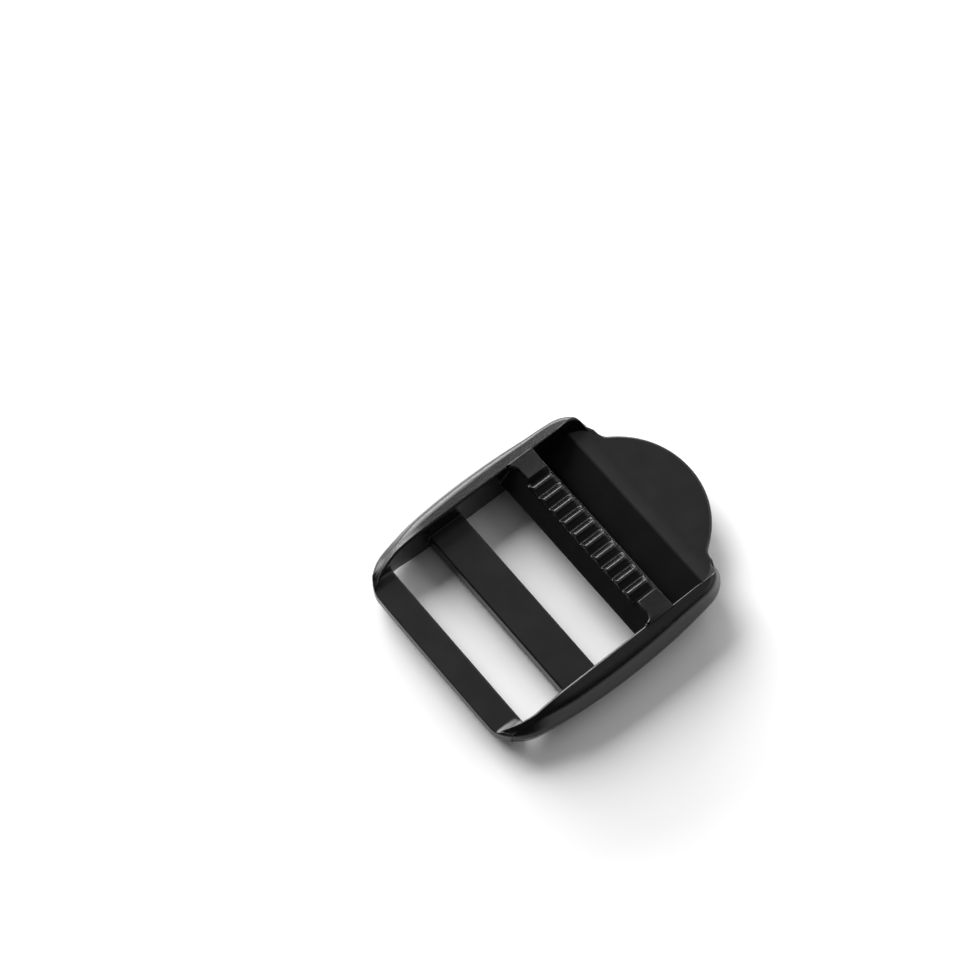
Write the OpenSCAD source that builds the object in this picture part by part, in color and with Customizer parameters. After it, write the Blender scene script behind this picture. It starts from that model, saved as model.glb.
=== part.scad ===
// Ladder-lock webbing buckle for 25 mm strap: two side rails, three cross bars and a thumb tab.
// The buckle is moulded in one shot; each node is one member of that moulding, and members meet face to face.
// X runs across the strap, +Y from the sewing bar to the thumb tab, +Z up. The origin is on the surface
// that the buckle lies on, at the middle of its length and width.

/* [Overall] */
// Clear width between the rails, which takes the webbing
slot_w = 26; // [25.6:0.1:26.4]
// Widest distance over both rails
buckle_w = 31.9; // [31.5:0.1:32.5]
// Distance from the front edge to the tip of the thumb tab
buckle_l = 39.7; // [39.4:0.1:40.2]

/* [Side rails] */
// Height of the rail tops at the rear corners
rail_h = 6.8; // [6.7:0.05:7.2]
// Height of the rail tops where the nose ends
nose_top_h = 6.25; // [6.1:0.05:6.4]
// Distance from the front edge to the end of the nose
nose_l = 9; // [8.5:0.1:9.5]
// Height of the rail at its front tip
nose_tip_h = 3.3; // [3.2:0.05:3.5]
// Corner radius in plan at the front
front_corner_r = 4.5; // [4:0.1:5.5]
// Corner radius in plan at the rear
rear_corner_r = 4; // [3.5:0.1:4.3]
// Plan radius of the gently bowed outer sides
side_r = 90; // [80:1:100]
// Share of the rail's width that stays flat underneath
foot_flat = 0.3; // [0.2:0.05:0.4]
// Share of the rail's width that stays flat on top
top_flat = 0.15; // [0.05:0.01:0.2]
// Height of the rail's widest line, as a share of its depth
waist_share = 0.56; // [0.45:0.01:0.6]

/* [Underside] */
// Start of the flat stretch that the buckle rests on
flat_start = 10; // [9:0.5:12]
// End of the flat stretch
flat_end = 23; // [22:0.5:24]
// Radius of the underside in front of the flat stretch
front_rocker_r = 34; // [32:1:50]
// Radius of the underside behind the flat stretch
rear_rocker_r = 70; // [65:1:80]

/* [Sewing bar] */
// Front-to-back width of the sewing bar
sewing_bar_w = 3.6; // [3.3:0.1:4]
// Thickness of the sewing bar and the middle bar
bar_t = 2.6; // [2.2:0.1:2.7]
// Height of the sewing bar's underside
sewing_bar_z = 0.7; // [0.6:0.05:0.8]

/* [Middle bar] */
// Front edge of the middle bar
middle_bar_y = 9.7; // [9.3:0.1:10]
// Front-to-back width of the middle bar
middle_bar_w = 5; // [4.5:0.1:5.2]
// Height of the middle bar's underside
middle_bar_z = 0.6; // [0.5:0.05:0.8]
// Edge rounding of the sewing bar and the middle bar
bar_edge_r = 0.4; // [0.2:0.05:0.6]
// Rounding of the sewing bar's lower front edge
sewing_keel_r = 1.1; // [0.9:0.1:1.3]
// Distance over which each end of the sewing bar's underside curves up
sewing_heel = 3.5; // [3:0.5:5]

/* [Grip bar] */
// Front edge of the grip bar, where its sloping front face starts
grip_foot_y = 20.7; // [20.5:0.1:20.9]
// Height of that edge
grip_foot_z = 3.8; // [3.6:0.1:4]
// Front of the grip bar's top
grip_front_y = 22.8; // [22.4:0.1:22.9]
// Rear of the grip bar's top
grip_rear_y = 25.9; // [25.7:0.1:26.1]
// Height of the grip bar's heel, its lowest stretch
grip_heel_z = 1; // [0.8:0.1:1.2]
// Height of the floor between the teeth
grip_floor_z = 6; // [5.9:0.05:6.1]
// Number of teeth
tooth_count = 10; // [8:1:10]
// Width of one tooth at its foot
tooth_w = 1.8; // [1.5:0.05:1.85]
// Distance from tooth to tooth
tooth_pitch = 1.95; // [1.9:0.01:1.96]
// Height of a tooth above the floor
tooth_h = 0.7; // [0.6:0.05:0.8]
// Width of the flat pad at each end of the row of teeth
pad_w = 2.9; // [2.5:0.1:2.9]
// Radius of the corner between a pad and its rail
pad_fillet_r = 1.2; // [1:0.1:1.5]

/* [Rear bar and thumb tab] */
// Front edge of the thumb tab's top
tab_front_y = 31; // [30.8:0.1:31.2]
// Height of the thumb tab's top
tab_top_z = 4.3; // [4.2:0.1:4.5]
// Thickness of the thumb tab
tab_t = 2.3; // [2:0.1:2.4]
// Radius of the tab's round tongue
tab_r = 11; // [10.5:0.1:11.3]
// Radius of the hollow corner between the tongue and the rear edge
tab_neck_r = 1.6; // [1.2:0.1:2]
// Distance from the front edge to the rear edge of the frame
frame_l = 33.8; // [33.5:0.1:34]
// Radius of the recess inside each rear corner
recess_r = 4.7; // [4.5:0.1:5]
// Foremost point of the rear bar's lower lip
lip_y = 27.2; // [27.1:0.1:27.6]
// Height of the rear bar's lower lip
lip_z = 0.9; // [0.7:0.1:1]

/* [Hidden] */
$fn = 96;

moulding_colour = [0.16, 0.16, 0.17];
grip_colour = [0.11, 0.11, 0.12];
tab_colour = [0.19, 0.19, 0.2];

eps = 0.01;
half_slot = slot_w / 2;
half_w = buckle_w / 2;

// Plan centres: the bowed side, the front corner and the rear corner all touch one another smoothly
side_mid_y = 17.5;
side_c = [half_w - side_r, side_mid_y];
front_c = touching_centre(front_corner_r, front_corner_r);
rear_c = touching_centre(rear_corner_r, frame_l - rear_corner_r);
front_angle = angle_from_side(front_c);
rear_angle = angle_from_side(rear_c);
tip_angle = -acos((half_slot - front_c[0]) / front_corner_r);

function touching_centre(r, y) = [side_c[0] + sqrt(pow(side_r - r, 2) - pow(y - side_mid_y, 2)), y];
function angle_from_side(c) = atan2(c[1] - side_c[1], c[0] - side_c[0]);
function mix(a, b, t) = a + (b - a) * t;
function on_arc(c, r, a) = c + r * [cos(a), sin(a)];

// Stations along a rail, shared among the front corner, the bowed side, the rear corner and the rear edge
front_steps = 8;
side_steps = 14;
corner_steps = 8;
edge_steps = 3;

// Tongue: a full circle, joined to the rear edge by a hollow corner on each side
tab_c_y = buckle_l - tab_r;
neck_c_y = frame_l + tab_neck_r;
neck_c_x = sqrt(pow(tab_r + tab_neck_r, 2) - pow(neck_c_y - tab_c_y, 2));

// Recess inside a rear corner: straight along the rail, then an arc that runs out at the rear edge
recess_c = [half_slot - recess_r, 29.5];
recess_end = asin((frame_l - 0.35 - recess_c[1]) / recess_r);
inner_start_y = 2.4;
inner_side_y = 5.5;
inner_corner_y = 27;

// Outer outline of the right rail at its widest height, from the front tip to the neck
outer = [
    for (i = [0:front_steps - 1]) on_arc(front_c, front_corner_r, mix(tip_angle, front_angle, i / front_steps)),
    for (i = [0:side_steps - 1]) on_arc(side_c, side_r, mix(front_angle, rear_angle, i / side_steps)),
    for (i = [0:corner_steps - 1]) on_arc(rear_c, rear_corner_r, mix(rear_angle, 90, i / corner_steps)),
    for (i = [0:edge_steps]) [mix(rear_c[0], neck_c_x, i / edge_steps), frame_l]
];

// Inner outline: the point of the slot wall or the recess that faces each outer point
recess_steps = corner_steps + edge_steps;
recess_lead = 3;
inner = [
    for (i = [0:front_steps - 1]) [half_slot, mix(inner_start_y, inner_side_y, i / front_steps)],
    for (i = [0:side_steps - 1]) [half_slot, mix(inner_side_y, inner_corner_y, i / side_steps)],
    for (i = [0:recess_lead - 1]) [half_slot, mix(inner_corner_y, recess_c[1], i / recess_lead)],
    for (i = [0:recess_steps - recess_lead])
        on_arc(recess_c, recess_r, mix(0, recess_end, i / (recess_steps - recess_lead)))
];

// The rear bar ends and the tab starts at this station of the recess, counted from the rear edge
joint_station = 4;
tab_joint_y = inner[len(inner) - 1 - joint_station][1];

// Nose arc in side view: it touches the rail top at the nose's end and passes through the tip
nose_drop = nose_top_h - nose_tip_h;
nose_tip_y = outer[0][1];
nose_r = (pow(nose_l - nose_tip_y, 2) + pow(nose_drop, 2)) / (2 * nose_drop);
function rail_top(y) = y < nose_l
    ? nose_top_h - nose_r + sqrt(pow(nose_r, 2) - pow(nose_l - y, 2))
    : mix(nose_top_h, rail_h, (y - nose_l) / (frame_l - nose_l));
function rocker(r, d) = r - sqrt(pow(r, 2) - pow(max(d, 0), 2));
function rail_foot(y) = max(rocker(front_rocker_r, flat_start - y), rocker(rear_rocker_r, y - flat_end));

// The rim runs down from the rear corner's full height to the tab's top where it meets the neck
rim_drop_start_x = rear_c[0] + 1.6;
rim_drop = rail_h - tab_top_z - 0.1;
function smooth(t) = let (u = min(max(t, 0), 1)) u * u * (3 - 2 * u);
function rim_top(x, y) = rail_top(y) -
    (y > recess_c[1] ? rim_drop * smooth((rim_drop_start_x - x) / (rim_drop_start_x - neck_c_x)) : 0);

// Teeth are V-shaped ridges with a narrow flat top; the pads' inner flanks slope like theirs
tooth_top_w = 0.46;
pad_flank = 0.4;
tooth_proud = 0.3;
tooth_tail = 0.5;

// Moves a member from front-edge coordinates into the part's frame
module in_frame() {
    translate([0, -buckle_l / 2, 0]) children();
}

// Cross-section of the rail between an inner and an outer plan point: flat inside wall, rounded outside
quarter_steps = 7;
function section_point(p, q, share, rise) =
    let (xy = mix(p, q, share), foot = rail_foot(xy[1]), top = rim_top(xy[0], xy[1]),
         waist = mix(foot, top, waist_share))
    [xy[0], xy[1], waist + rise * (rise < 0 ? waist - foot : top - waist)];
function rail_section(p, q) = concat(
    [section_point(p, q, 0, -1)],
    [for (i = [-quarter_steps:quarter_steps])
        let (a = 90 * i / quarter_steps, flat = i < 0 ? foot_flat : top_flat)
        section_point(p, q, flat + (1 - flat) * cos(a), sin(a))],
    [section_point(p, q, 0, 1)]
);

module rail() {
    stations = len(outer);
    ring = 2 * quarter_steps + 3;
    polyhedron(
        points = [for (i = [0:stations - 1]) each rail_section(inner[i], outer[i])],
        faces = concat(
            [[for (j = [0:ring - 1]) j]],
            [[for (j = [0:ring - 1]) stations * ring - 1 - j]],
            [for (i = [0:stations - 2], j = [0:ring - 1]) let (a = i * ring + j, b = i * ring + (j + 1) % ring)
                [a, a + ring, b + ring, b]]
        ),
        convexity = 4
    );
}

// Plan area of both rails, which the tab and the rear bar leave free
module rail_plan() {
    for (s = [-1, 1]) scale([s, 1])
        polygon(concat(inner, [for (i = [len(outer) - 1:-1:0]) outer[i]]));
}

module right_rail() {
    color(moulding_colour) in_frame() rail();
}

module left_rail() {
    color(moulding_colour) in_frame() mirror([1, 0, 0]) rail();
}

// Rectangle with rounded corners, its lower left corner at the origin
module rounded_rect(w, h, r) {
    translate([r, 0]) square([w - 2 * r, h]);
    translate([0, r]) square([w, h - 2 * r]);
    for (x = [r, w - r], y = [r, h - r]) translate([x, y]) circle(r);
}

// Bar from rail to rail whose side view is drawn with y to the right and z up
module cross_bar() {
    rotate([90, 0, 90]) translate([0, 0, -half_slot]) linear_extrude(height = slot_w) children();
}

// Front view of the sewing bar: its underside curves up towards the rails
heel_rise = 0.8;
heel_r = (pow(sewing_heel, 2) + pow(heel_rise, 2)) / (2 * heel_rise);
module sewing_front_view() {
    translate([-half_slot + sewing_heel, sewing_bar_z]) square([slot_w - 2 * sewing_heel, 2 * heel_r]);
    for (s = [-1, 1]) translate([s * (half_slot - sewing_heel), sewing_bar_z + heel_r]) circle(heel_r);
}

// Side view of the sewing bar: a rounded bar with a fuller curve under its front edge
module sewing_side_view() {
    difference() {
        rounded_rect(sewing_bar_w, bar_t, bar_edge_r);
        translate([-1, -1]) square(1 + sewing_keel_r);
    }
    intersection() {
        translate([sewing_keel_r, sewing_keel_r]) circle(sewing_keel_r);
        square(2 * sewing_keel_r);
    }
}

module sewing_bar() {
    color(moulding_colour) in_frame() intersection() {
        cross_bar() translate([0, sewing_bar_z]) sewing_side_view();
        translate([0, sewing_bar_w + 1, 0]) rotate([90, 0, 0]) linear_extrude(height = sewing_bar_w + 2)
            sewing_front_view();
        linear_extrude(height = rail_h) union() {
            translate([-front_c[0], -1]) square([2 * front_c[0], buckle_l]);
            translate([-half_slot, front_c[1]]) square([slot_w, buckle_l]);
            for (s = [-1, 1]) translate([s * front_c[0], front_c[1]]) circle(front_corner_r, $fn = 180);
        }
    }
}

module middle_bar() {
    color(moulding_colour) in_frame() cross_bar() translate([middle_bar_y, middle_bar_z])
        rounded_rect(middle_bar_w, bar_t, bar_edge_r);
}

// The strap slides up the grip bar's sloping front, over its top, and down its rear
grip_heel_y = [23.4, 24.9];
grip_shoulder_z = 4;
module grip_bar() {
    color(grip_colour) in_frame() cross_bar()
        polygon([[grip_foot_y, grip_foot_z], [grip_heel_y[0], grip_heel_z], [grip_heel_y[1], grip_heel_z],
                 [grip_rear_y, grip_shoulder_z], [grip_rear_y, grip_floor_z], [grip_front_y, grip_floor_z]]);
}

// Ridges that run front to back across the grip bar's top
module grip_teeth() {
    tooth_l = grip_rear_y - tooth_tail - (grip_front_y - tooth_proud);
    color(grip_colour) in_frame() for (i = [0:tooth_count - 1])
        translate([(i - (tooth_count - 1) / 2) * tooth_pitch, grip_front_y - tooth_proud + tooth_l, grip_floor_z])
            rotate([90, 0, 0]) linear_extrude(height = tooth_l)
                polygon([[-tooth_w / 2, 0], [tooth_w / 2, 0],
                         [tooth_top_w / 2, tooth_h], [-tooth_top_w / 2, tooth_h]]);
}

// Flat pad at the right end of the teeth, with a hollow corner in front of it that joins it to the rail
module grip_pad() {
    fillet_drop = 1.1;
    lean = (grip_front_y - grip_foot_y) / (grip_floor_z - grip_foot_z);
    translate([half_slot, grip_rear_y, grip_floor_z]) rotate([90, 0, 0])
        linear_extrude(height = grip_rear_y - grip_front_y)
            polygon([[-pad_w - pad_flank, 0], [0, 0], [0, tooth_h], [-pad_w, tooth_h]]);
    difference() {
        translate([half_slot - pad_fillet_r, grip_front_y - pad_fillet_r, grip_floor_z - fillet_drop])
            linear_extrude(height = tooth_h + fillet_drop) difference() {
                square([pad_fillet_r, pad_fillet_r + eps]);
                circle(pad_fillet_r);
            }
        cross_bar() polygon([[grip_front_y - 2 * lean, grip_floor_z - 2], [grip_front_y, grip_floor_z],
                             [grip_front_y + 1, grip_floor_z], [grip_front_y + 1, grip_floor_z - 2]]);
    }
}

module right_grip_pad() {
    color(grip_colour) in_frame() grip_pad();
}

module left_grip_pad() {
    color(grip_colour) in_frame() mirror([1, 0, 0]) grip_pad();
}

// Sloping web behind the last slot: its front face carries the strap down and forward under the grip bar
module rear_bar() {
    color(tab_colour) in_frame() difference() {
        cross_bar() polygon([[tab_front_y, tab_top_z], [lip_y, lip_z + 0.9], [lip_y + 0.3, lip_z],
                             [lip_y + 1.6, lip_z], [tab_joint_y, tab_top_z - tab_t],
                             [tab_joint_y, tab_top_z]]);
        linear_extrude(height = rail_h) rail_plan();
    }
}

// Right half of the tab's outline: along the rail's recess, round the hollow corner, over the tongue
hollow_steps = 10;
tongue_steps = 20;
neck_angle = atan2(neck_c_y - tab_c_y, neck_c_x);
tab_half = concat(
    [for (i = [len(inner) - 1 - joint_station:len(inner) - 1]) inner[i]],
    [for (i = [0:hollow_steps])
        on_arc([neck_c_x, neck_c_y], tab_neck_r, mix(-90, neck_angle - 180, i / hollow_steps))],
    [for (i = [1:tongue_steps]) on_arc([0, tab_c_y], tab_r, mix(neck_angle, 90, i / tongue_steps))]
);
module tab_outline() {
    polygon(concat(tab_half, [for (i = [len(tab_half) - 2:-1:0]) [-tab_half[i][0], tab_half[i][1]]]));
}

module thumb_tab() {
    color(tab_colour) in_frame() translate([0, 0, tab_top_z - tab_t]) linear_extrude(height = tab_t)
        tab_outline();
}

left_rail();
right_rail();
sewing_bar();
middle_bar();
grip_bar();
grip_teeth();
left_grip_pad();
right_grip_pad();
rear_bar();
thumb_tab();
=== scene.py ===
# %% [markdown]
# # A ladder-lock buckle for 25 mm webbing
# The buckle is one black moulding: two bowed side rails, a sewing bar, a middle bar, a toothed grip bar and a
# round thumb tab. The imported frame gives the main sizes, so each piece here is drawn around the member of the
# same name, with the curves and small roundings that a moulding has and a plain solid lacks.

# %% Load the frame
import math

import bmesh
import bpy
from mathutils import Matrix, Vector


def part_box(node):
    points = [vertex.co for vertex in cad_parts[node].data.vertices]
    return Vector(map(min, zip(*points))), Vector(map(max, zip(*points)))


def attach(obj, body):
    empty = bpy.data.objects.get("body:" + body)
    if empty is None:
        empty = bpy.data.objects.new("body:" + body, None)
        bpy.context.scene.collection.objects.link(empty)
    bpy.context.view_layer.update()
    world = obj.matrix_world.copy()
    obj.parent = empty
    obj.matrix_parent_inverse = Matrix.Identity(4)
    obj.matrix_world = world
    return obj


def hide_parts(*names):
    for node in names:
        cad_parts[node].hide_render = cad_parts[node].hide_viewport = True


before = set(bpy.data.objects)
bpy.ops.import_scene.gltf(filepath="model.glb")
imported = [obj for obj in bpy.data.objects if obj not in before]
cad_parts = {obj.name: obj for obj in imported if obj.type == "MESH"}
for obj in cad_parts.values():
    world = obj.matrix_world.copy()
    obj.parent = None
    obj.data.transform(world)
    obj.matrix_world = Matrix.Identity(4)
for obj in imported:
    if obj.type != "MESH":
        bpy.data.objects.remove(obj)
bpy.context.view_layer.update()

MM = 0.001


def span(node):
    """Lowest and highest corner of a member, in millimetres."""
    low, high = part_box(node)
    return low / MM, high / MM


for name in sorted(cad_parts):
    low, high = span(name)
    print(f"{name:15s} {[round(v, 2) for v in low]} to {[round(v, 2) for v in high]}")

# %% [markdown]
# ## Measures
# The slot's half width, the front edge and the bars' edges come from the frame's boxes, so a piece follows its
# member. They could be typed in, but then a change of the CAD would be missed. Lengths are in millimetres here
# and become metres only when a mesh is made. A depth `y` is counted from the buckle's front edge, because that
# is how such a buckle is dimensioned.

# %% Measures of the members
sewing_low, sewing_high = span("sewing_bar")
middle_low, middle_high = span("middle_bar")
grip_low, grip_high = span("grip_bar")
teeth_low, teeth_high = span("grip_teeth")
pad_low, pad_high = span("right_grip_pad")
web_low, web_high = span("rear_bar")
tab_low, tab_high = span("thumb_tab")
rail_high = span("right_rail")[1]

FRONT = sewing_low.y
HALF_SLOT = sewing_high.x
HALF_WIDTH = rail_high.x
RAIL_TOP = rail_high.z
FRAME_BACK = rail_high.y - FRONT
TAB_TIP = tab_high.y - FRONT
TAB_TOP = tab_high.z
TAB_UNDER = tab_low.z
SEW_TOP = sewing_high.z
SEW_UNDER = sewing_low.z
SEW_BACK = sewing_high.y - FRONT
print(f"slot {2 * HALF_SLOT:.1f}, width {2 * HALF_WIDTH:.1f} mm")
print(f"frame's back at {FRAME_BACK:.1f}, tab's tip at {TAB_TIP:.1f} mm")

# %% [markdown]
# ## Drawing tools
# A moulding's edges are never sharp, so `rounded` turns an outline's corners into arcs. `loft` skins a row of
# such outlines, which makes long curved members with clean rows of faces. It could be done with bevel and
# boolean modifiers, but a loft keeps the face rows running along the member, and the highlights run with them.

# %% Arcs, rounded corners and easing
FAR_HOLD, NEAR_HOLD = 0.25, 0.03
STRAIGHT = 3.1


def mix(a, b, t):
    return a + (b - a) * t


def ease(t):
    """A smooth step from 0 to 1."""
    t = min(max(t, 0.0), 1.0)
    return t * t * (3 - 2 * t)


def arc(cx, cy, r, start, end, steps):
    """Points on an arc, angles in degrees, both ends included."""
    angles = [math.radians(mix(start, end, i / steps)) for i in range(steps + 1)]
    return [(cx + r * math.cos(a), cy + r * math.sin(a)) for a in angles]


def rounded(corners, radii, steps=6):
    """The closed outline through corners, each replaced by an arc of its own radius.

    Two points beyond each end of an arc hold the shading and the edge wear close to the corner. A corner that
    opens wider than STRAIGHT, in radians, gets no arc."""
    points = []
    count = len(corners)
    for i, (corner, radius) in enumerate(zip(corners, radii)):
        here = Vector(corner)
        back = Vector(corners[i - 1]) - here
        ahead = Vector(corners[(i + 1) % count]) - here
        room = 0.49 * min(back.length, ahead.length)
        back.normalize()
        ahead.normalize()
        opening = math.acos(max(-1.0, min(1.0, back.dot(ahead))))
        reach = min(radius / math.tan(opening / 2), room) if opening < STRAIGHT else min(0.01, room)
        start, end = here + back * reach, here + ahead * reach
        spare = room / 0.98 - reach
        holds = (min(FAR_HOLD, 0.9 * spare), min(NEAR_HOLD, 0.5 * spare))
        points += [tuple(start + back * hold) for hold in holds]
        for k in range(steps + 1):
            t = k / steps
            pull = (1 - t) ** 2 * start + 2 * t * (1 - t) * here + t ** 2 * end
            if opening < STRAIGHT:
                centre = here + (back + ahead).normalized() * (reach / math.cos(opening / 2))
                pull = centre + (pull - centre).normalized() * (start - centre).length
            points.append((pull.x, pull.y))
        points += [tuple(end + ahead * hold) for hold in reversed(holds)]
    return points


print(len(rounded([(0, 0), (2, 0), (2, 1), (0, 1)], [0.2] * 4)), "points round a test bar")

# %% Skinning a row of outlines
WELD = 0.0004
TINY_EDGE = 1e-5
CREASE_ANGLE = 38


def finish_mesh(name, mesh_data):
    """Welds, turns every face outward, scales to metres, and shades all but the flat caps smooth."""
    bmesh.ops.remove_doubles(mesh_data, verts=mesh_data.verts, dist=WELD)
    bmesh.ops.dissolve_degenerate(mesh_data, edges=mesh_data.edges, dist=TINY_EDGE)
    bmesh.ops.recalc_face_normals(mesh_data, faces=mesh_data.faces)
    for vert in mesh_data.verts:
        vert.co = Vector((vert.co.x, vert.co.y + FRONT, vert.co.z)) * MM
    mesh = bpy.data.meshes.new(name)
    mesh_data.to_mesh(mesh)
    open_edges = sum(1 for edge in mesh_data.edges if len(edge.link_faces) != 2)
    mesh_data.free()
    for face in mesh.polygons:
        face.use_smooth = len(face.vertices) <= 4
    mesh.set_sharp_from_angle(angle=math.radians(CREASE_ANGLE))
    piece = bpy.data.objects.new(name, mesh)
    bpy.context.scene.collection.objects.link(piece)
    print(f"{name}: {len(mesh.polygons)} faces, {open_edges} open edges")
    return piece


def add_loft(mesh_data, rings):
    """Skins closed rings, each a list of (x, y, z), and caps both ends."""
    rows = [[mesh_data.verts.new(point) for point in ring] for ring in rings]
    count = len(rings[0])
    for a, b in zip(rows, rows[1:]):
        for j in range(count):
            k = (j + 1) % count
            mesh_data.faces.new((a[j], a[k], b[k], b[j]))
    mesh_data.faces.new(rows[0])
    mesh_data.faces.new(list(reversed(rows[-1])))


def loft(name, rings, mirror=False):
    """One piece skinned over the rings, or its mirror image across the buckle's middle."""
    mesh_data = bmesh.new()
    if mirror:
        rings = [[(-x, y, z) for x, y, z in ring] for ring in rings]
    add_loft(mesh_data, rings)
    return finish_mesh(name, mesh_data)


print("loft welds points closer than", WELD, "mm and creases edges over", CREASE_ANGLE, "degrees")

# %% [markdown]
# ## Where a bar meets a rail
# A moulding has a small hollow corner wherever two members meet, because a sharp one would crack and would not
# leave the mould. A bevel needs the two members joined in one mesh, and these stay separate pieces. So `flare`
# says how far a bar's surface has risen towards the wall at a given distance from it.

# %% The hollow corner
END_STEPS = 14


def flare(distance, radius):
    """Height of a quarter-round hollow at this distance from the wall."""
    if radius <= 0 or distance >= radius:
        return 0.0
    depth = radius - max(distance, 0.0)
    return radius - math.sqrt(max(radius ** 2 - depth ** 2, 0.0))


def bar_stations(reach, fine, tail):
    """Places along a bar from end to end, close together near its ends. The tail lies inside the rail."""
    half = [0.0, 0.35 * reach, 0.65 * reach, reach - fine]
    half += [reach - fine * (1 - ease(i / END_STEPS)) for i in range(1, END_STEPS + 1)] + [reach + tail]
    return [-x for x in reversed(half[1:])] + half


print("hollow of 0.4 mm at the wall:", round(flare(0, 0.4), 2), "and 0.2 mm away:", round(flare(0.2, 0.4), 3))

# %% [markdown]
# ## The side rails
# Each rail is a bowed bar about 3 mm wide and 6.5 mm high. Its inner wall is flat, because the webbing runs
# along it. Its top is a narrow band with a crisp inner edge, then a shoulder turns into a steep outer side.
# The underside rises at both ends, so the buckle rocks when the tab is lifted. At the back the rail curls in
# round the tab, and its rim sinks until it dies out at the tab's neck. It could be a block cut by booleans, but
# those leave hard edges where the shapes cross. One loft follows the whole way instead: each station joins a
# point of the inner wall to a point of the outer outline, and carries its own section.

# %% Plan of a rail
SIDE_R = 90.0
SIDE_MID = 17.5
FRONT_R = 4.9
BACK_R = 4.0
RECESS_R = 4.7
RECESS_Y = 29.5
NECK_R = 2.3
TONGUE_R = 11.0
CREST_IN, CREST_FROM, CREST_LENGTH, CREST_BEND = 1.25, 0.75, 4.4, 1.7

side_c = (HALF_WIDTH - SIDE_R, SIDE_MID)


def touching(radius, y):
    """Centre of a corner arc that touches the bowed side."""
    return side_c[0] + math.sqrt((SIDE_R - radius) ** 2 - (y - SIDE_MID) ** 2), y


front_c = touching(FRONT_R, FRONT_R)
back_c = touching(BACK_R, FRAME_BACK - BACK_R)
front_turn = math.degrees(math.atan2(front_c[1] - side_c[1], front_c[0] - side_c[0]))
back_turn = math.degrees(math.atan2(back_c[1] - side_c[1], back_c[0] - side_c[0]))
recess_c = (HALF_SLOT - RECESS_R, RECESS_Y)
recess_end = math.degrees(math.asin((FRAME_BACK - 0.35 - RECESS_Y) / RECESS_R))
tongue_y = TAB_TIP - TONGUE_R
neck_y = FRAME_BACK + NECK_R
neck_x = math.sqrt((TONGUE_R + NECK_R) ** 2 - (neck_y - tongue_y) ** 2)
neck_turn = math.degrees(math.atan2(neck_y - tongue_y, neck_x))


def front_edge(x):
    """The buckle's front outline: straight along the sewing bar, then round the corner."""
    over = abs(x) - front_c[0]
    return FRONT_R - math.sqrt(FRONT_R ** 2 - over ** 2) if over > 0 else 0.0


def crest_x(y):
    """The rail's inner top edge in plan. Over the sewing bar it runs in towards the middle."""
    return HALF_SLOT - CREST_IN * max(0.0, 1 - (y - CREST_FROM) / CREST_LENGTH) ** CREST_BEND


print(f"corner centres {front_c[0]:.2f}, {back_c[0]:.2f}; neck at x {neck_x:.2f}")

# %% [markdown]
# ## The side view of a rail
# From the side the top runs almost straight from the back to the nose, and the nose droops over the sewing bar
# in one arc. The foot is flat in the middle and rises in a long arc at each end. Arcs of circles are used and
# not free curves, because a mould is cut that way and a shine runs over an arc without a break.

# %% Heights along a rail
NOSE_LENGTH = 9.0
NOSE_TOP = 6.25
NOSE_TIP = 3.35
FLAT_FROM, FLAT_TO = 10.0, 23.0
FRONT_ROCKER, BACK_ROCKER = 34.0, 70.0
nose_r = (NOSE_LENGTH ** 2 + (NOSE_TOP - NOSE_TIP) ** 2) / (2 * (NOSE_TOP - NOSE_TIP))


def rail_top(y):
    """Height of the rail's top at a depth y."""
    if y < NOSE_LENGTH:
        return NOSE_TOP - nose_r + math.sqrt(nose_r ** 2 - (NOSE_LENGTH - y) ** 2)
    return mix(NOSE_TOP, RAIL_TOP, (y - NOSE_LENGTH) / (FRAME_BACK - NOSE_LENGTH))


def rail_foot(y):
    """Height of the rail's underside at a depth y: flat in the middle, an arc at each end."""
    ahead, behind = max(FLAT_FROM - y, 0), max(y - FLAT_TO, 0)
    return max(FRONT_ROCKER - math.sqrt(FRONT_ROCKER ** 2 - ahead ** 2),
               BACK_ROCKER - math.sqrt(BACK_ROCKER ** 2 - behind ** 2))


print(f"top at the nose's end {rail_top(NOSE_LENGTH):.2f}, at the back {rail_top(FRAME_BACK):.2f}")

# %% [markdown]
# ## The section of a rail
# Cut across, the rail has six corners: the foot's two, the waist where the side is widest, the shoulder, the
# crest, and a point on the inner wall from which the wall leans back beside the tab. Towards the nose the
# shoulder comes in and drops, so that the top becomes one slope. Round the tab the section shrinks to the tab's
# height. Waist numbers are shares of the height, and foot, shoulder and lean numbers are shares of the width.
# One set of blended numbers serves the whole rail, because separate sections would show where they meet.

# %% Stations and sections
FRONT_STEPS, SIDE_STEPS, WALL_STEPS, CORNER_STEPS, EDGE_STEPS, FADE_STEPS = 22, 56, 8, 24, 8, 8
TIP_X = 11.75
INNER_TIP, INNER_NOSE, INNER_WALL = 0.8, 5.5, 27.0
FADE_WIDTH, FADE_DEPTH, FADE_DROP = 0.1, 0.25, 0.2
SINK_FROM = 2.6
RIM_OVER_TAB, RIM_IN_TAB = 0.12, 0.1
RIM_LEAN, RIM_LEAN_LENGTH = 0.7, 2.0
FOOT_SHARE = 0.69
WALL_SHARE = 0.75
WAIST_TIP, WAIST_SIDE, WAIST_RIM = 0.8, 0.56, 0.5
SHOULDER_SIDE, SHOULDER_BACK, SHOULDER_NOSE = 0.68, 0.76, 0.42
GROW_SIDE, GROW_NOSE = 0.22, -0.1
SLOPE_SIDE, SLOPE_NOSE, SLOPE_TIP = 0.12, 1.0, 0.4
FULL_HEIGHT = 6.0
BEHIND_FROM, BEHIND_LENGTH = 26.0, 5.0
NOSE_FROM, NOSE_BLEND = 2.0, 8.0
tip_turn = -math.degrees(math.acos((TIP_X - front_c[0]) / FRONT_R))

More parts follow.
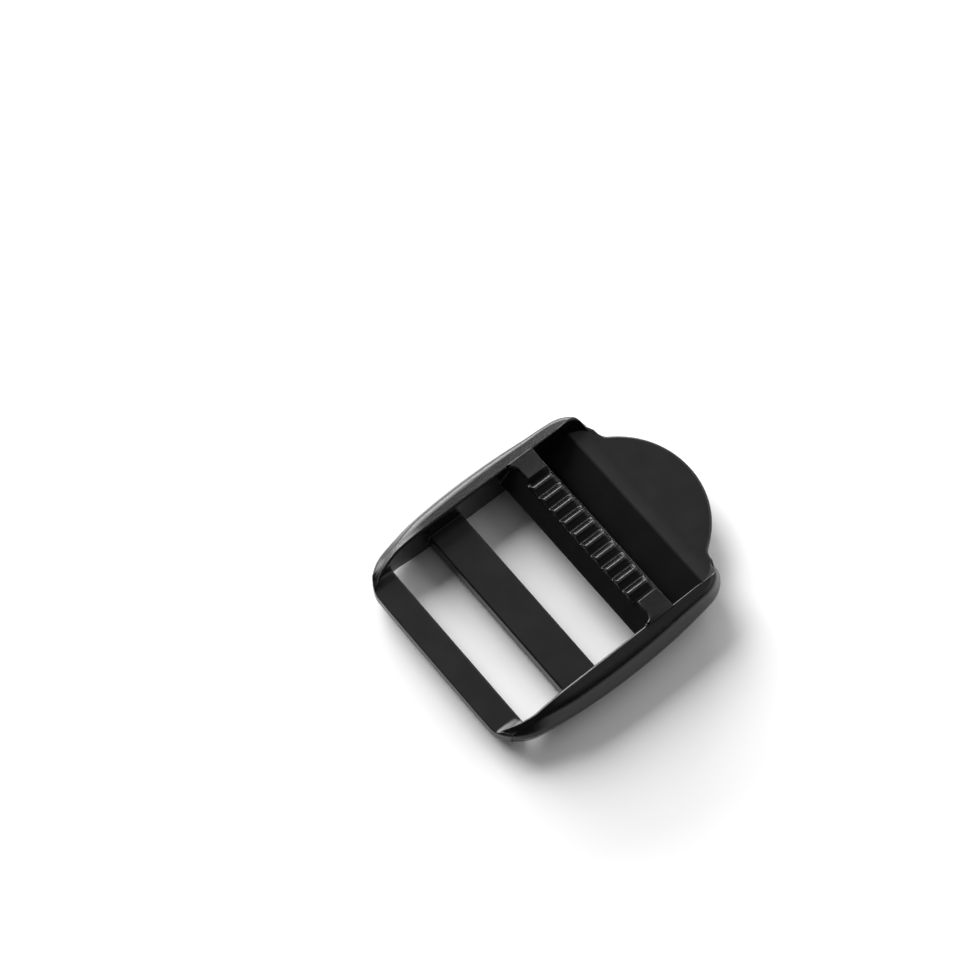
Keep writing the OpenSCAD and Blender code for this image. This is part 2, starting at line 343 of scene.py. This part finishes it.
outer_line = arc(*front_c, FRONT_R, tip_turn, front_turn, FRONT_STEPS)[:-1]
outer_line += arc(*side_c, SIDE_R, front_turn, back_turn, SIDE_STEPS)[:-1]
outer_line += arc(*back_c, BACK_R, back_turn, 90, CORNER_STEPS)[:-1]
outer_line += [(mix(back_c[0], neck_x, i / EDGE_STEPS), FRAME_BACK) for i in range(EDGE_STEPS)]
outer_line += arc(neck_x, neck_y, NECK_R, -90, -135, FADE_STEPS)

inner_y = [mix(INNER_TIP, INNER_NOSE, i / FRONT_STEPS) for i in range(FRONT_STEPS)]
inner_y += [mix(INNER_NOSE, INNER_WALL, i / SIDE_STEPS) for i in range(SIDE_STEPS)]
inner_y += [mix(INNER_WALL, RECESS_Y, i / WALL_STEPS) for i in range(WALL_STEPS)]
recess_steps = len(outer_line) - FADE_STEPS - len(inner_y) - 1
inner_line = [(crest_x(y), y) for y in inner_y] + arc(*recess_c, RECESS_R, 0, recess_end, recess_steps)
wall_end, rim_end = inner_line[-1], outer_line[-1]
inner_line += [(mix(wall_end[0], rim_end[0], i / FADE_STEPS) - FADE_WIDTH,
                mix(wall_end[1], rim_end[1], i / FADE_STEPS) - FADE_DEPTH) for i in range(1, FADE_STEPS + 1)]


def rail_section(i):
    """The rail's outline between an inner and an outer point, as (x, y, z)."""
    p, q = Vector(inner_line[i]), Vector(outer_line[i])
    width = (q - p).length
    start = ease(i / FRONT_STEPS)
    foot = rail_foot(q.y)
    top = rail_top(p.y)
    sink = 0.0
    if q.y > RECESS_Y:
        sink = ease((back_c[0] + SINK_FROM - q.x) / (back_c[0] + SINK_FROM - neck_x))
    fade = max(0.0, (i - (len(outer_line) - 1 - FADE_STEPS)) / FADE_STEPS)
    top = mix(top, TAB_TOP + RIM_OVER_TAB, sink) - FADE_DROP * fade
    foot = mix(foot, TAB_UNDER + RIM_IN_TAB, sink)
    lean = RIM_LEAN * ease((p.y - RECESS_Y) / RIM_LEAN_LENGTH)
    behind = ease((q.y - BEHIND_FROM) / BEHIND_LENGTH)
    tall = top - foot
    waist = foot + tall * mix(WAIST_TIP, mix(WAIST_SIDE, WAIST_RIM, sink), start)
    nose = 1 - ease((q.y - NOSE_FROM) / NOSE_BLEND)
    shoulder = width * mix(mix(SHOULDER_SIDE, SHOULDER_BACK, behind), SHOULDER_NOSE, nose)
    grow_out = mix(GROW_SIDE, GROW_NOSE, nose) * start
    slope = mix(SLOPE_SIDE, SLOPE_NOSE, nose)
    grow = min(1.0, tall / FULL_HEIGHT)
    corners = [(0, foot), (width * FOOT_SHARE, foot), (width + grow_out, waist),
               (shoulder, top - slope * mix(SLOPE_TIP, 1.0, start)), (width * lean, top),
               (0, min(TAB_TOP, foot + WALL_SHARE * tall))]
    radii = [0.25, 0.8 * grow, 1.3 * grow, mix(0.9, 1.15, start) * grow, mix(0.16, 0.3, start), 0.05]
    side = (q - p).normalized()
    return [(p.x + side.x * w, p.y + side.y * w, z) for w, z in rounded(corners, radii)]


rail_rings = [rail_section(i) for i in range(len(outer_line))]
print(len(rail_rings), "stations of", len(rail_rings[0]), "points")

# %% Both rails
right_rail = loft("right_side_rail", rail_rings)
left_rail = loft("left_side_rail", rail_rings, mirror=True)

# %% [markdown]
# ## The sewing bar and the middle bar
# The sewing bar takes the sewn loop of webbing, so its lower front edge is well rounded. Near its ends it
# follows the buckle's front corners, its underside curves up, and its top sweeps up against the rail's nose.
# The middle bar is a plain flat bar with small hollow corners at both ends. Both are lofts along X, because
# the section only changes near the ends.

# %% Sewing bar
HEEL = 3.5
HEEL_RISE = 0.8
SEW_HOLLOW, NOSE_HOLLOW, NOSE_MARGIN = 0.45, 0.95, 0.12
TUCK, TUCK_FROM, TUCK_LENGTH = 0.06, 11.6, 0.8
FRONT_SHARE = 0.4
sewing_profile = rounded([(0, SEW_UNDER), (SEW_BACK, SEW_UNDER), (SEW_BACK, SEW_TOP), (0, SEW_TOP)],
                         [1.1, 0.4, 0.3, 0.16], 8)


def sewing_ring(x):
    """The bar's section at x. Its last stretch is tucked a hair inside the rail's nose."""
    ring = []
    front = front_edge(x)
    tuck = TUCK * ease((abs(x) - TUCK_FROM) / TUCK_LENGTH)
    for y, z in sewing_profile:
        up = (z - SEW_UNDER) / (SEW_TOP - SEW_UNDER)
        along = y / SEW_BACK
        corner = flare(HALF_SLOT - abs(x), SEW_HOLLOW) * max(0.0, along - 0.5) * 2
        new_y = mix(front + tuck, SEW_BACK, along) + corner
        room = max(0.0, rail_top(new_y) - SEW_TOP - NOSE_MARGIN)
        gap = crest_x(new_y) - abs(x)
        top_rise = flare(gap, min(NOSE_HOLLOW, room)) * up ** 3
        heel = max(0.0, abs(x) - (HALF_SLOT - HEEL)) / HEEL
        low_rise = HEEL_RISE * heel ** 2 * (1 - up)
        squeeze = tuck * (0.5 - up) if along < FRONT_SHARE else 0.0
        ring.append((x, new_y, z + top_rise + low_rise + squeeze))
    return ring


sewing_bar = loft("sewing_bar_round", [sewing_ring(x) for x in bar_stations(HALF_SLOT, 2.2, 0.15)])

# %% Middle bar
MIDDLE_HOLLOW = 0.16
BAR_FINE, BAR_TAIL = 0.5, 0.15
mid_front, mid_back = middle_low.y - FRONT, middle_high.y - FRONT
middle_profile = rounded([(mid_front, middle_low.z), (mid_back, middle_low.z),
                          (mid_back, middle_high.z), (mid_front, middle_high.z)], [0.5, 0.4, 0.22, 0.3])
middle_mid = Vector(((mid_front + mid_back) / 2, (middle_low.z + middle_high.z) / 2))


def swell(profile, middle, x, radius):
    """The profile pushed outward near the wall, which makes a hollow corner all round."""
    rise = flare(HALF_SLOT - abs(x), radius)
    ring = []
    for i, point in enumerate(profile):
        before, after = Vector(profile[i - 1]), Vector(profile[(i + 1) % len(profile)])
        along = after - before
        normal = Vector((along.y, -along.x)).normalized()
        if normal.dot(Vector(point) - middle) < 0:
            normal.negate()
        ring.append((x, point[0] + normal.x * rise, point[1] + normal.y * rise))
    return ring


middle_bar = loft("middle_bar_flat", [swell(middle_profile, middle_mid, x, MIDDLE_HOLLOW)
                                      for x in bar_stations(HALF_SLOT, BAR_FINE, BAR_TAIL)])

# %% [markdown]
# ## The grip bar, its teeth and its pads
# The strap rises along the grip bar's sloping front, bends over the toothed top and drops behind it. Ten
# wedge-shaped ridges run front to back, each with a narrow flat top and a small round at its foot and at its
# top, and those rounds catch the light as pairs of thin lines. A flat pad at each end is level with the rail,
# and a hollow corner joins it to the rail in front. The teeth are one mesh of ten closed shells. A bump texture
# could draw them, but it would lose their outline against the slot behind.

# %% Grip bar
grip_front, grip_back = grip_low.y - FRONT, grip_high.y - FRONT
GRIP_EDGE_Z, GRIP_BACK_Z = 3.8, 4.0
GRIP_FOOT_FRONT, GRIP_FOOT_BACK = 23.4, 24.9
GRIP_RISE = 2.1
GRIP_HOLLOW = 0.3
grip_top_front = grip_front + GRIP_RISE
grip_profile = rounded([(grip_front, GRIP_EDGE_Z), (GRIP_FOOT_FRONT, grip_low.z),
                        (GRIP_FOOT_BACK, grip_low.z), (grip_back, GRIP_BACK_Z),
                        (grip_back, grip_high.z), (grip_top_front, grip_high.z)],
                       [0.08, 0.4, 0.4, 0.5, 0.25, 0.2])
grip_mid = Vector((24.0, GRIP_EDGE_Z))
grip_bar = loft("grip_bar_web", [swell(grip_profile, grip_mid, x, GRIP_HOLLOW)
                                 for x in bar_stations(HALF_SLOT, BAR_FINE, BAR_TAIL)])

# %% Teeth
TOOTH_COUNT = 10
FRONT_ROUND, BACK_ROUND = 0.3, 0.7
TOOTH_PITCH = 1.95
TOOTH_FOOT = 1.8
TOOTH_TOP = 0.36
TOOTH_ROOT, TOOTH_SKIRT, TOOTH_SKIN = 0.35, 0.16, 0.02
TOOTH_LOWEST = 0.12
FRONT_RINGS, BACK_RINGS = 7, 9
tooth_h = teeth_high.z - grip_high.z
tooth_from, tooth_to = teeth_low.y - FRONT - 0.1, grip_back - 0.1


def tooth_outline():
    """A tooth from the front: a hollow at each foot, straight flanks, and a round at each top edge."""
    foot, top, skirt = TOOTH_FOOT / 2, TOOTH_TOP / 2, TOOTH_FOOT / 2 + TOOTH_SKIRT
    return rounded([(-skirt, -TOOTH_ROOT), (skirt, -TOOTH_ROOT), (skirt, TOOTH_SKIN),
                    (foot - TOOTH_SKIN, TOOTH_SKIN), (top, tooth_h), (-top, tooth_h),
                    (-foot + TOOTH_SKIN, TOOTH_SKIN), (-skirt, TOOTH_SKIN)],
                   [0.01, 0.01, 0.01, 0.3, 0.16, 0.22, 0.3, 0.01])


def tooth_height(y):
    """The tooth rounds down at its ends, quickly in front and slowly behind."""
    ahead = min((y - tooth_from) / FRONT_ROUND, 1.0)
    behind = min((tooth_to - y) / BACK_ROUND, 1.0)
    return math.sqrt(max(0.0, 1 - (1 - ahead) ** 2)) * math.sqrt(max(0.0, 1 - (1 - behind) ** 2))


tooth_profile = tooth_outline()
tooth_places = [tooth_from + FRONT_ROUND * (i / FRONT_RINGS) ** 2 for i in range(FRONT_RINGS + 1)]
tooth_places += [tooth_to - BACK_ROUND * (1 - i / BACK_RINGS) ** 2 for i in range(BACK_RINGS + 1)]
tooth_mesh = bmesh.new()
for n in range(TOOTH_COUNT):
    middle_x = (n - (TOOTH_COUNT - 1) / 2) * TOOTH_PITCH
    tooth_rings = []
    for y in tooth_places:
        share = mix(TOOTH_LOWEST, 1.0, tooth_height(y))
        tooth_rings.append([(middle_x + x, y, grip_high.z + (z * share if z > 0 else z))
                            for x, z in tooth_profile])
    add_loft(tooth_mesh, tooth_rings)
grip_teeth = finish_mesh("grip_teeth_row", tooth_mesh)

# %% Pads
PAD_TOP_X = HALF_SLOT - 2.85
PAD_FLANK = 0.6
PAD_SLANT = 0.2
PAD_HOLLOW = 1.2
PAD_TAIL = 0.3
PAD_EDGE = 0.15
PAD_EDGE_STEPS = 4
pad_back = pad_high.y - FRONT
pad_front = grip_top_front


def pad_outline(level):
    """Plan of the right pad at a level from 0, its foot, to 1, its top: the inner flank slopes."""
    inner_x = PAD_TOP_X - PAD_FLANK * (1 - level)
    hollow = arc(HALF_SLOT - PAD_HOLLOW, pad_front - PAD_HOLLOW, PAD_HOLLOW, 90, 0, 12)
    outer_x = HALF_SLOT + PAD_TAIL
    return [(inner_x, pad_front)] + hollow + [(outer_x, pad_front - PAD_HOLLOW), (outer_x, pad_back),
                                              (inner_x, pad_back - PAD_SLANT)]


def inset(outline, amount):
    """The outline moved inward along its own corners."""
    moved = []
    count = len(outline)
    for i, point in enumerate(outline):
        here = Vector(point)
        before = (here - Vector(outline[i - 1])).normalized()
        after = (Vector(outline[(i + 1) % count]) - here).normalized()
        normal = Vector((-before.y, before.x)) + Vector((-after.y, after.x))
        normal /= max(normal.length_squared / 2, 0.3)
        moved.append((point[0] + normal.x * amount, point[1] + normal.y * amount))
    return moved


def pad_rings():
    """The pad from its foot, sunk 0.1 mm into the bar, up to its top. Two more rings inside hold the edge."""
    top = pad_high.z
    rings = [(pad_outline(0), pad_low.z - 0.1, 0.0), (pad_outline(0), grip_high.z, 0.0)]
    for k in range(PAD_EDGE_STEPS + 1):
        turn = math.radians(90 * k / PAD_EDGE_STEPS)
        rings.append((pad_outline(1), top - PAD_EDGE * (1 - math.sin(turn)), PAD_EDGE * (1 - math.cos(turn))))
    rings += [(pad_outline(1), top, PAD_EDGE + 0.03), (pad_outline(1), top, PAD_EDGE + 0.15)]
    return [[(x, y, z) for x, y in inset(line, amount)] for line, z, amount in rings]


right_pad = loft("right_grip_pad_top", pad_rings())
left_pad = loft("left_grip_pad_top", pad_rings(), mirror=True)

# %% [markdown]
# ## The rear bar and the thumb tab
# Behind the last slot a sloping web carries the strap down and forward. Its top lies a hair under the tab's,
# so the tab covers the joint. The tab is a flat tongue with a round outline, joined to the frame by a hollow
# corner on each side, and its edge is rounded above and below, which is what a thumb feels. A bevel modifier
# could round it, but it would round the joint too. So the tab is a stack of one outline, and a weight on each
# point turns the rounding off where the tab meets the frame.

# %% Rear bar
web_front, joint = web_low.y - FRONT, web_high.y - FRONT
TAB_FRONT = 31.2
LIP_HEIGHT, LIP_SLOPE, LIP_LENGTH = 0.9, 0.3, 2.2
WEB_END, WEB_THIRD = 13.25, 6.5
web_top = TAB_TOP - 0.015
web_profile = rounded([(TAB_FRONT, web_top), (web_front, web_low.z + LIP_HEIGHT),
                       (web_front + LIP_SLOPE, web_low.z), (web_front + LIP_LENGTH, web_low.z),
                       (joint, TAB_UNDER), (joint, web_top)], [0.8, 0.35, 0.3, 0.5, 0.02, 0.005])
web_stations = (-WEB_END, -WEB_THIRD, 0.0, WEB_THIRD, WEB_END)
rear_bar = loft("rear_bar_slope", [[(x, y, z) for y, z in web_profile] for x in web_stations])

# %% Thumb tab
TAB_EDGE = 0.4
TAB_GROW = 0.2
TAB_TUCK = 0.1
TAB_SHOULDER_X = 12.2
NECK_STEPS, NECK_EASE, TONGUE_STEPS, TAB_EDGE_STEPS = 14, 10, 48, 7
neck_arc = arc(neck_x, neck_y, NECK_R - TAB_GROW, -90, neck_turn - 180, NECK_STEPS)
tongue = arc(0, tongue_y, TONGUE_R + TAB_GROW, neck_turn, 90, TONGUE_STEPS)
right_half = [(HALF_SLOT + TAB_TUCK, TAB_FRONT + TAB_TUCK, 0.0), (HALF_SLOT + TAB_TUCK, joint + 0.4, 0.0),
              (TAB_SHOULDER_X, FRAME_BACK - 0.4, 0.0)]
right_half += [(x, y - 0.05 * (1 - i / NECK_STEPS), ease(i / NECK_EASE)) for i, (x, y) in enumerate(neck_arc)]
right_half += [(x, y, 1.0) for x, y in tongue[1:]]
left_half = [(-x, y, weight) for x, y, weight in reversed(right_half[:-1])]
tab_line = right_half + left_half


def tab_rings():
    """Hold rings on the flat top, the rounded edge from top to underside, and hold rings below."""
    flat = [(x, y) for x, y, _ in tab_line]
    weights = [weight for _, _, weight in tab_line]
    pull = inset(flat, TAB_EDGE)
    rings = []
    turns = [math.radians(90 * k / TAB_EDGE_STEPS) for k in range(TAB_EDGE_STEPS + 1)]
    edge = [(TAB_EDGE * (1 - math.cos(t)), TAB_EDGE * (1 - math.sin(t))) for t in turns]
    steps = [(inward, drop, TAB_TOP, -1) for inward, drop in reversed(edge)]
    steps += [(inward, drop, TAB_UNDER, 1) for inward, drop in edge]
    for inward, drop, level, sign in steps:
        ring = []
        for (x, y), (px, py), weight in zip(flat, pull, weights):
            t = inward / TAB_EDGE * weight
            ring.append((mix(x, px, t), mix(y, py, t), level + sign * drop * weight))
        rings.append(ring)
    lines = []
    for amount in (TAB_EDGE + 0.35, TAB_EDGE + 0.06):
        moved = zip(flat, inset(flat, amount), weights)
        lines.append([(mix(x, px, weight), mix(y, py, weight)) for (x, y), (px, py), weight in moved])
    above = [[(x, y, TAB_TOP) for x, y in line] for line in lines]
    below = [[(x, y, TAB_UNDER) for x, y in line] for line in reversed(lines)]
    return above + rings + below


thumb_tab = loft("thumb_tab_tongue", tab_rings())

# %% [markdown]
# ## The plastic
# The buckle is black acetal straight from the mould. The faces that the strap slides on are satin. The rails,
# the pads and the teeth carry a fine spark grain, which comes from the eroded steel of the mould. Both
# finishes share one node group: it works out the grain's height, a faint cloudy change of tone from the
# flow of the plastic, and paler rubbed edges. Two separate materials would do, but then each change would be
# made twice. The shader stays in each material.

# %% The shared surface group
def value_input(group, name, default):
    socket = group.interface.new_socket(name=name, in_out="INPUT", socket_type="NodeSocketFloat")
    socket.default_value = default
    return socket


def build_surface_group():
    group = bpy.data.node_groups.new("moulded_surface", "ShaderNodeTree")
    colour_in = group.interface.new_socket(name="Plastic", in_out="INPUT", socket_type="NodeSocketColor")
    colour_in.default_value = (0.012, 0.012, 0.0125, 1)
    value_input(group, "Grain size", 7000.0)
    value_input(group, "Grain depth", 1.0)
    value_input(group, "Gloss", 0.35)
    value_input(group, "Rub", 0.5)
    group.interface.new_socket(name="Colour", in_out="OUTPUT", socket_type="NodeSocketColor")
    group.interface.new_socket(name="Roughness", in_out="OUTPUT", socket_type="NodeSocketFloat")
    group.interface.new_socket(name="Height", in_out="OUTPUT", socket_type="NodeSocketFloat")
    nodes, links = group.nodes, group.links
    given = nodes.new("NodeGroupInput")
    out = nodes.new("NodeGroupOutput")
    place = nodes.new("ShaderNodeTexCoord")

    pits = nodes.new("ShaderNodeTexNoise")
    pits.inputs["Detail"].default_value = 2.0
    pits.inputs["Roughness"].default_value = 0.65
    links.new(place.outputs["Object"], pits.inputs["Vector"])
    links.new(given.outputs["Grain size"], pits.inputs["Scale"])

    cloud = nodes.new("ShaderNodeTexNoise")
    cloud.inputs["Scale"].default_value = 260.0
    cloud.inputs["Detail"].default_value = 3.0
    links.new(place.outputs["Object"], cloud.inputs["Vector"])

    shape = nodes.new("ShaderNodeNewGeometry")
    rub = nodes.new("ShaderNodeMapRange")
    rub.inputs["From Min"].default_value = 0.56
    rub.inputs["From Max"].default_value = 0.7
    links.new(shape.outputs["Pointiness"], rub.inputs["Value"])
    rub_amount = nodes.new("ShaderNodeMath")
    rub_amount.operation = "MULTIPLY"
    links.new(rub.outputs["Result"], rub_amount.inputs[0])
    links.new(given.outputs["Rub"], rub_amount.inputs[1])

    tone = nodes.new("ShaderNodeMapRange")
    tone.inputs["To Min"].default_value = 0.8
    tone.inputs["To Max"].default_value = 1.2
    links.new(cloud.outputs["Fac"], tone.inputs["Value"])
    tinted = nodes.new("ShaderNodeMix")
    tinted.data_type = "RGBA"
    tinted.blend_type = "MULTIPLY"
    tinted.inputs["Factor"].default_value = 1.0
    links.new(given.outputs["Plastic"], tinted.inputs["A"])
    links.new(tone.outputs["Result"], tinted.inputs["B"])
    worn = nodes.new("ShaderNodeMix")
    worn.data_type = "RGBA"
    worn.inputs["B"].default_value = (0.04, 0.04, 0.041, 1)
    links.new(rub_amount.outputs[0], worn.inputs["Factor"])
    links.new(tinted.outputs["Result"], worn.inputs["A"])
    links.new(worn.outputs["Result"], out.inputs["Colour"])

    shine = nodes.new("ShaderNodeMath")
    shine.operation = "MULTIPLY_ADD"
    shine.inputs[1].default_value = 0.12
    links.new(cloud.outputs["Fac"], shine.inputs[0])
    links.new(given.outputs["Gloss"], shine.inputs[2])
    links.new(shine.outputs[0], out.inputs["Roughness"])

    height = nodes.new("ShaderNodeMath")
    height.operation = "MULTIPLY"
    links.new(pits.outputs["Fac"], height.inputs[0])
    links.new(given.outputs["Grain depth"], height.inputs[1])
    links.new(height.outputs[0], out.inputs["Height"])
    return group


surface_group = build_surface_group()
print("group outputs:", [item.name for item in surface_group.interface.items_tree if item.in_out == "OUTPUT"])

# %% Two finishes of one plastic
PLASTIC = (0.0040, 0.0040, 0.0044, 1)


def make_plastic(name, grain_size, grain_depth, gloss, rub, bump):
    material = bpy.data.materials.new(name)
    material.use_nodes = True
    nodes, links = material.node_tree.nodes, material.node_tree.links
    shader = nodes["Principled BSDF"]
    shader.inputs["IOR"].default_value = 1.45
    surface = nodes.new("ShaderNodeGroup")
    surface.node_tree = surface_group
    surface.inputs["Plastic"].default_value = PLASTIC
    surface.inputs["Grain size"].default_value = grain_size
    surface.inputs["Grain depth"].default_value = grain_depth
    surface.inputs["Gloss"].default_value = gloss
    surface.inputs["Rub"].default_value = rub
    relief = nodes.new("ShaderNodeBump")
    relief.inputs["Strength"].default_value = 1.0
    relief.inputs["Distance"].default_value = bump
    links.new(surface.outputs["Colour"], shader.inputs["Base Color"])
    links.new(surface.outputs["Roughness"], shader.inputs["Roughness"])
    links.new(surface.outputs["Height"], relief.inputs["Height"])
    links.new(relief.outputs["Normal"], shader.inputs["Normal"])
    return material


grained = make_plastic("grained_plastic", grain_size=7500.0, grain_depth=1.0, gloss=0.18, rub=0.25,
                       bump=0.028 * MM)
satin = make_plastic("satin_plastic", grain_size=6000.0, grain_depth=1.0, gloss=0.24, rub=0.25,
                     bump=0.005 * MM)
print("finishes:", grained.name, satin.name)

# %% [markdown]
# ## Putting the pieces on the frame
# Each piece stands for one CAD member, rides on the only body, and gets the material of its finish. One
# table does it for all ten, because nothing on the buckle moves and so no piece needs a treatment of its own.

# %% Ride, replace, finish
placed = [
    (right_rail, "right_rail", "grained_moulding", grained),
    (left_rail, "left_rail", "grained_moulding", grained),
    (sewing_bar, "sewing_bar", "satin_moulding", satin),
    (middle_bar, "middle_bar", "satin_moulding", satin),
    (grip_bar, "grip_bar", "satin_moulding", satin),
    (grip_teeth, "grip_teeth", "grained_moulding", grained),
    (right_pad, "right_grip_pad", "grained_moulding", grained),
    (left_pad, "left_grip_pad", "grained_moulding", grained),
    (rear_bar, "rear_bar", "satin_moulding", satin),
    (thumb_tab, "thumb_tab", "satin_moulding", satin),
]
for piece, node, slot, material in placed:
    piece.data.materials.append(material)
    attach(piece, "root")
    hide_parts(node)
print(len(placed), "pieces on the frame")

# %% [markdown]
# ## Floor, light and camera
# The buckle lies on a white table. Two soft lights stand on its left, a broad one and a long low one, so that
# the left shoulder and every left-hand edge shine and the shadow falls to the right. A wide light behind draws
# the back edges, and a faint one overhead fills the tops. A single sun would be simpler, but its shine on black
# plastic is a point and not a band. The camera looks down steeply from the front right with a long lens.

# %% Floor
TABLE_HALF = 0.9
TABLE_WHITE = (0.93, 0.93, 0.93, 1)
floor_mesh = bpy.data.meshes.new("table")
floor_shape = bmesh.new()
bmesh.ops.create_grid(floor_shape, x_segments=2, y_segments=2, size=TABLE_HALF)
floor_shape.to_mesh(floor_mesh)
floor_shape.free()
floor = bpy.data.objects.new("table", floor_mesh)
bpy.context.scene.collection.objects.link(floor)
floor_material = bpy.data.materials.new("white_table")
floor_material.use_nodes = True
floor_shader = floor_material.node_tree.nodes["Principled BSDF"]
floor_shader.inputs["Base Color"].default_value = TABLE_WHITE
floor_shader.inputs["Roughness"].default_value = 0.9
floor_shader.inputs["Specular IOR Level"].default_value = 0.0
floor.data.materials.append(floor_material)
print("table of", round(floor.dimensions.x, 2), "m")


# %% Lights
def soft_light(name, direction, distance, size, power):
    """A rectangular light at this direction from the buckle, turned towards it."""
    lamp = bpy.data.lights.new(name, "AREA")
    lamp.shape = "RECTANGLE"
    lamp.size, lamp.size_y = size
    lamp.energy = power
    holder = bpy.data.objects.new(name, lamp)
    where = Vector(direction).normalized() * distance
    holder.location = where
    holder.rotation_euler = (-where).to_track_quat("-Z", "Y").to_euler()
    bpy.context.scene.collection.objects.link(holder)


soft_light("left_softbox", (-0.8, 0.0, 0.6), distance=1.1, size=(0.85, 0.6), power=15.5)
soft_light("left_strip", (-0.94, 0.26, 0.22), distance=1.0, size=(1.3, 0.25), power=18.0)
soft_light("back_softbox", (0.15, 0.8, 0.55), distance=1.1, size=(1.6, 0.8), power=5.5)
soft_light("overhead_softbox", (-0.25, 0.2, 0.95), distance=1.2, size=(1.6, 1.6), power=2.0)
WORLD_STRENGTH = 0.06
world = bpy.data.worlds.new("studio")
world.use_nodes = True
world.node_tree.nodes["Background"].inputs["Color"].default_value = (1, 1, 1, 1)
world.node_tree.nodes["Background"].inputs["Strength"].default_value = WORLD_STRENGTH
bpy.context.scene.world = world
bpy.context.scene.view_settings.view_transform = "Standard"
print("four lights and a white surround of strength", WORLD_STRENGTH)

# %% Camera
VIEW_AZIMUTH = 50.96
VIEW_ELEVATION = 65.96
VIEW_DISTANCE = 0.391
SENSOR_WIDTH = 36.0
LENS_LENGTH = 119.6
AIM = Vector((-16.1, 0.3, 0.0)) * MM
azimuth, elevation = math.radians(VIEW_AZIMUTH), math.radians(VIEW_ELEVATION)
towards_camera = Vector((math.cos(elevation) * math.sin(azimuth),
                         -math.cos(elevation) * math.cos(azimuth), math.sin(elevation)))
camera_data = bpy.data.cameras.new("camera")
camera_data.sensor_width = SENSOR_WIDTH
camera_data.lens = LENS_LENGTH
camera_data.clip_start = 0.01
camera = bpy.data.objects.new("camera", camera_data)
camera.location = AIM + towards_camera * VIEW_DISTANCE
camera.rotation_euler = (-towards_camera).to_track_quat("-Z", "Y").to_euler()
bpy.context.scene.collection.objects.link(camera)
bpy.context.scene.camera = camera
print("camera at", [round(v * 1000, 1) for v in camera.location], "mm")
